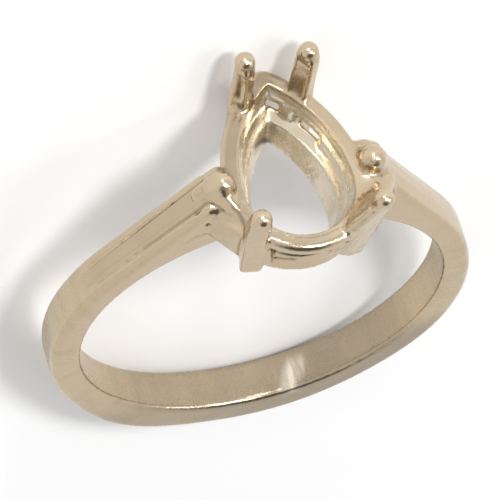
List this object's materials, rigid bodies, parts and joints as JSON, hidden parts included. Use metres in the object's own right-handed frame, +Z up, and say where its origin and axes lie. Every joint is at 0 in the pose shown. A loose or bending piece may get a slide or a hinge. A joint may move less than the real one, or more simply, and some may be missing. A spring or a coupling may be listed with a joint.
{
  "type": "semi mount ring setting",
  "caption": "Cathedral ring setting without its stone: a rectangular shank rises in straight shoulders to an open pear-shaped basket with beaded prongs.",
  "frame": {"origin": "centre of the footprint of the ring as it lies on its side, on the surface it rests on", "axes": "+Z up from the surface; the head points towards -Y and the palm side of the shank towards +Y; X is across the ring, which is the same on both sides. The finger axis leans 12.1 degrees from +Z towards +Y, because the point of the basket lies on the surface"},
  "size_m": [0.02, 0.0248, 0.0093],
  "materials": {
    "pale_gold": "pale yellow 14 carat gold, cast and lightly polished, with fine scratches and soldered joints"
  },
  "bodies": {
    "root": {"ring": "pale_gold"}
  },
  "joints": []
}
